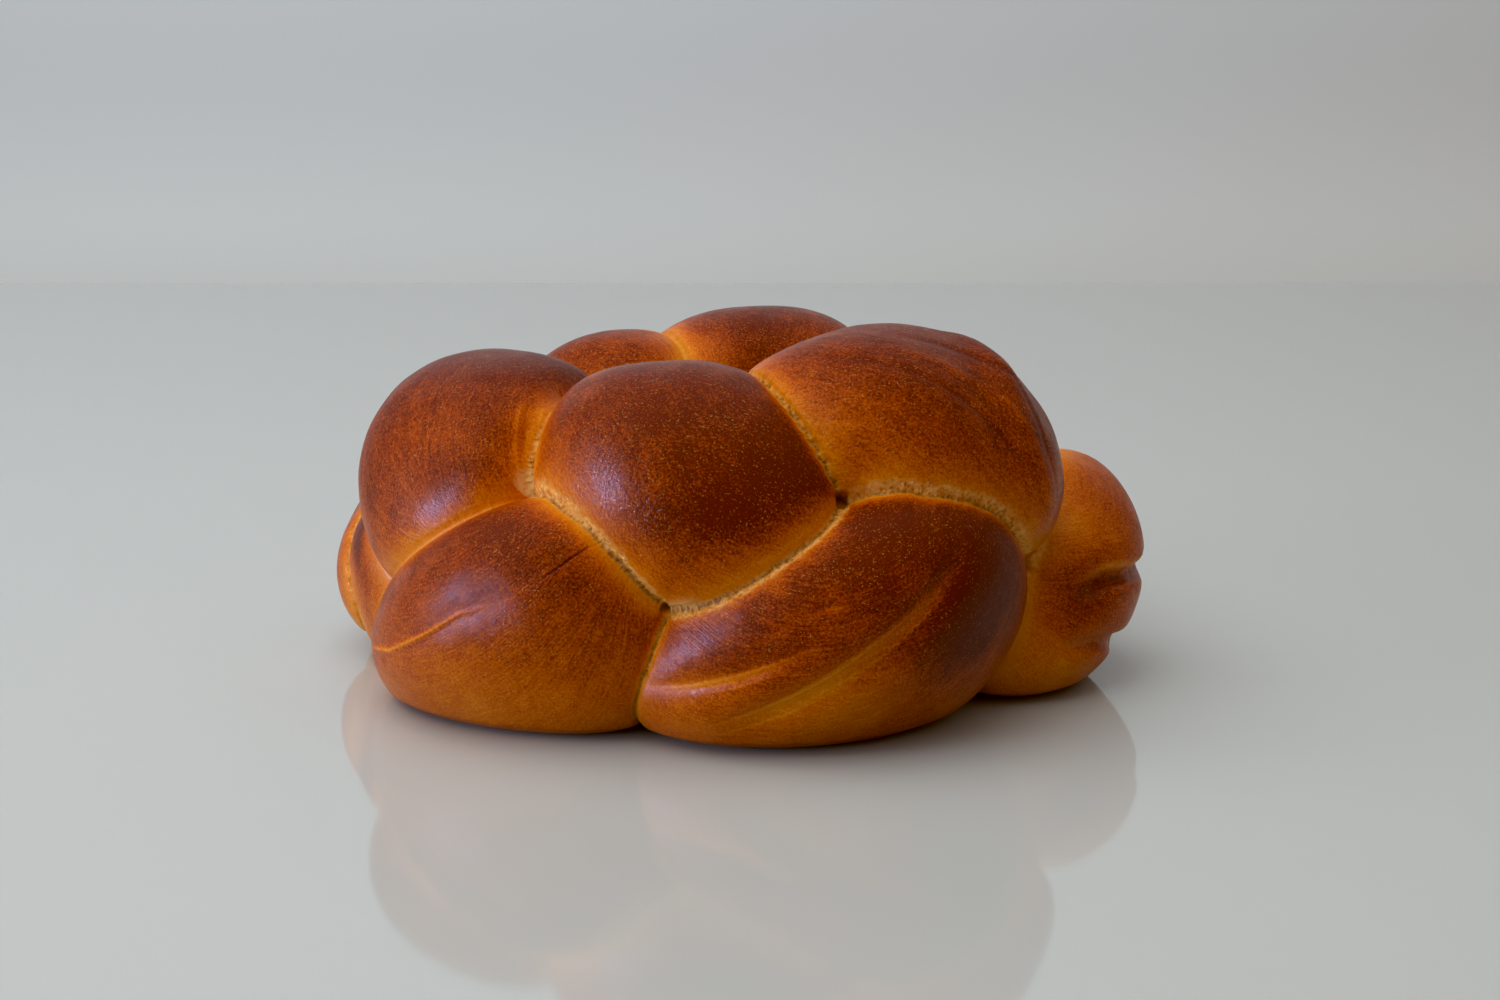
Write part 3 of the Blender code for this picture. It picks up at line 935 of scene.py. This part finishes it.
def crust_material():
    """Egg-washed crust: pale in the creases, amber beside them and mahogany on the crowns."""
    material = bpy.data.materials.new("egg_washed_crust")
    graph = Graph(material)
    space = graph.add("ShaderNodeTexCoord").outputs["Object"]
    rope = graph.attribute("rope_place", "Vector")
    browning, torn = graph.attribute("browning"), graph.attribute("torn")
    shaded_pits, cream = graph.attribute("shaded_pits"), graph.attribute("cream")

    clouds = graph.noise(space, *CLOUDS)
    streaks = graph.rope_noise(rope, *STREAKS)
    wrinkles = graph.rope_noise(rope, *WRINKLE_LINES)
    grain = graph.noise(space, *GRAIN)
    shifts = (
        graph.swing(clouds, *CLOUD_BROWNING),
        graph.swing(streaks, *STREAK_BROWNING),
        graph.swing(grain, *GRAIN_BROWNING),
        graph.swing(wrinkles, *WRINKLE_BROWNING),
    )
    uneven = graph.math("MULTIPLY", graph.total(shifts), graph.between(browning, 0, BROWNED_ENOUGH))
    level = graph.math("ADD", browning, uneven, clamp=True)
    colour = graph.ramp(level, CRUST_TONES)

    dashes = graph.between(graph.rope_noise(rope, *DASHES), *DASH_EDGES)
    dots = graph.between(graph.noise(space, *DOTS), *DOT_EDGES)
    clusters = graph.between(graph.noise(space, *CLUSTERS), *CLUSTER_EDGES)
    flecks = graph.math("MULTIPLY", graph.math("MAXIMUM", dashes, dots), clusters)
    colour = graph.mix(graph.math("MULTIPLY", flecks, FLECK_SHARE), colour, FLECK_COLOUR)
    crumb = graph.noise(space, *CRUMB)
    colour = graph.mix(graph.math("MULTIPLY", torn, CRUMB_SHARE), colour, graph.ramp(crumb, CRUMB_TONES))
    # Painted shade: pits, cracks along torn creases and holes at the corners are darkened towards the pits'
    # colour
    colour = graph.mix(graph.math("MULTIPLY", shaded_pits, PIT_SHADE_SHARE), colour, PIT_SHADE_COLOUR)
    colour = graph.mix(cream, colour, CREAM_COLOUR)
    graph.link(colour, graph.shader.inputs["Base Color"])

    torn_roughness = graph.math("MULTIPLY", torn, TORN_ROUGHNESS)
    rough = graph.math("ADD", graph.between(clouds, *ROUGHNESS_RANGE), torn_roughness)
    graph.link(rough, graph.shader.inputs["Roughness"])
    graph.shader.inputs["Specular IOR Level"].default_value = SPECULAR_LEVEL
    graph.shader.inputs["Specular Tint"].default_value = WASH_TINT
    graph.shader.inputs["Coat Weight"].default_value = COAT_WEIGHT
    graph.shader.inputs["Coat Roughness"].default_value = COAT_ROUGHNESS
    graph.shader.inputs["Coat IOR"].default_value = COAT_IOR

    heights = (
        graph.math("MULTIPLY", graph.noise(space, *SKIN), SKIN_BUMP),
        graph.math("MULTIPLY", streaks, STREAK_BUMP),
        graph.math("MULTIPLY", wrinkles, WRINKLE_BUMP),
        graph.math("MULTIPLY", grain, GRAIN_BUMP),
        graph.math("MULTIPLY", flecks, FLECK_BUMP),
        graph.math("MULTIPLY", graph.math("MULTIPLY", crumb, torn), CRUMB_BUMP),
    )
    inputs = {"Height": graph.total(heights), "Strength": BUMP_STRENGTH, "Distance": BUMP_DISTANCE}
    bumped = graph.add("ShaderNodeBump", inputs).outputs["Normal"]
    graph.link(bumped, graph.shader.inputs["Normal"])
    graph.link(bumped, graph.shader.inputs["Coat Normal"])
    return material


def plain_material(name, colour, roughness):
    material = bpy.data.materials.new(name)
    graph = Graph(material)
    graph.shader.inputs["Base Color"].default_value = (*colour, 1)
    graph.shader.inputs["Roughness"].default_value = roughness
    return material


def backdrop_material():
    """Pale grey, with painted shade that darkens it higher up."""
    (low, low_colour), (high, high_colour) = BACKDROP_TONES
    material = plain_material("backdrop", low_colour, BACKDROP_ROUGHNESS)
    graph = Graph(material)
    space = graph.add("ShaderNodeTexCoord").outputs["Object"]
    height = graph.add("ShaderNodeSeparateXYZ", {0: space}).outputs["Z"]
    colour = graph.mix(graph.between(height, low, high), (*low_colour, 1), (*high_colour, 1))
    graph.link(colour, graph.shader.inputs["Base Color"])
    return material


def add_plane(name, corners, material):
    mesh = bpy.data.meshes.new(name)
    mesh.from_pydata(corners, [], [tuple(range(len(corners)))])
    mesh.materials.append(material)
    plane = bpy.data.objects.new(name, mesh)
    bpy.context.scene.collection.objects.link(plane)
    return plane


def add_world():
    """Soft light all round: bright from the left, above and behind, warm and dim from the right and front."""
    world = bpy.data.worlds.new("room")
    bpy.context.scene.world = world
    world.use_nodes = True
    tree = world.node_tree
    direction = tree.nodes.new("ShaderNodeTexCoord").outputs["Generated"]
    facing = tree.nodes.new("ShaderNodeVectorMath")
    facing.operation = "DOT_PRODUCT"
    facing.inputs[1].default_value = BRIGHT_SIDE
    tree.links.new(direction, facing.inputs[0])
    share = tree.nodes.new("ShaderNodeMapRange")
    share.inputs["From Min"].default_value = DIM_LEAN
    tree.links.new(facing.outputs["Value"], share.inputs["Value"])
    tones = tree.nodes.new("ShaderNodeValToRGB")
    for element, colour in zip(tones.color_ramp.elements, (DIM_SKY, BRIGHT_SKY)):
        element.color = (*colour, 1)
    tree.links.new(share.outputs["Result"], tones.inputs["Fac"])
    tree.links.new(tones.outputs["Color"], tree.nodes["Background"].inputs["Color"])
    tree.nodes["Background"].inputs["Strength"].default_value = SKY_STRENGTH


def add_room():
    """A glossy pale floor and, some way behind its end, a pale backdrop."""
    left, right, front = -ROOM_HALF_WIDTH, ROOM_HALF_WIDTH, -ROOM_HALF_WIDTH
    floor = [(left, front, 0), (right, front, 0), (right, FLOOR_END, 0), (left, FLOOR_END, 0)]
    add_plane("floor", floor, plain_material("floor", FLOOR_COLOUR, FLOOR_ROUGHNESS))
    foot, top = (BACKDROP_PLACE, BACKDROP_FOOT), (BACKDROP_PLACE, BACKDROP_TOP)
    wall = [(left, *foot), (right, *foot), (right, *top), (left, *top)]
    backdrop = add_plane("backdrop", wall, backdrop_material())
    light_only(add_light("backdrop wash", *BACKDROP_WASH), backdrop)


def add_light(name, place, target, size, power, colour):
    light = bpy.data.lights.new(name, "AREA")
    light.shape = "RECTANGLE"
    light.size, light.size_y = size
    light.energy = power
    light.color = colour
    lamp = bpy.data.objects.new(name, light)
    lamp.location = place
    lamp.rotation_euler = (Vector(target) - Vector(place)).to_track_quat("-Z", "Y").to_euler()
    bpy.context.scene.collection.objects.link(lamp)
    return lamp


def light_only(lamp, receiver):
    """Lets a lamp light one object and nothing else."""
    lit = bpy.data.collections.new(f"lit by {lamp.name}")
    lit.objects.link(receiver)
    lamp.light_linking.receiver_collection = lit


def add_camera():
    camera = bpy.data.cameras.new("camera")
    camera.lens = LENS
    camera.sensor_width = SENSOR
    eye = bpy.data.objects.new("camera", camera)
    back = RING_AXIS_Y - CAMERA_DISTANCE * np.cos(CAMERA_ELEVATION)
    eye.location = (CAMERA_SIDE_STEP, back, CAMERA_DISTANCE * np.sin(CAMERA_ELEVATION))
    eye.rotation_euler = (np.pi / 2 - CAMERA_PITCH, 0, 0)
    bpy.context.scene.collection.objects.link(eye)
    bpy.context.scene.camera = eye


add_camera()
add_room()
add_world()
glint = add_light("window glint", *GLINT)
glint.visible_diffuse = False
add_light("window", *WINDOW).visible_glossy = False
add_light("overhead", *OVERHEAD).visible_glossy = False
film = bpy.context.scene.view_settings
film.view_transform = "Standard"
film.use_curve_mapping = True
film.curve_mapping.black_level = FILM_BLACK

crust = add_crust(all_lumps())
crust.data.materials.append(crust_material())
light_only(glint, crust)
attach(crust, "root")
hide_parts("challah")
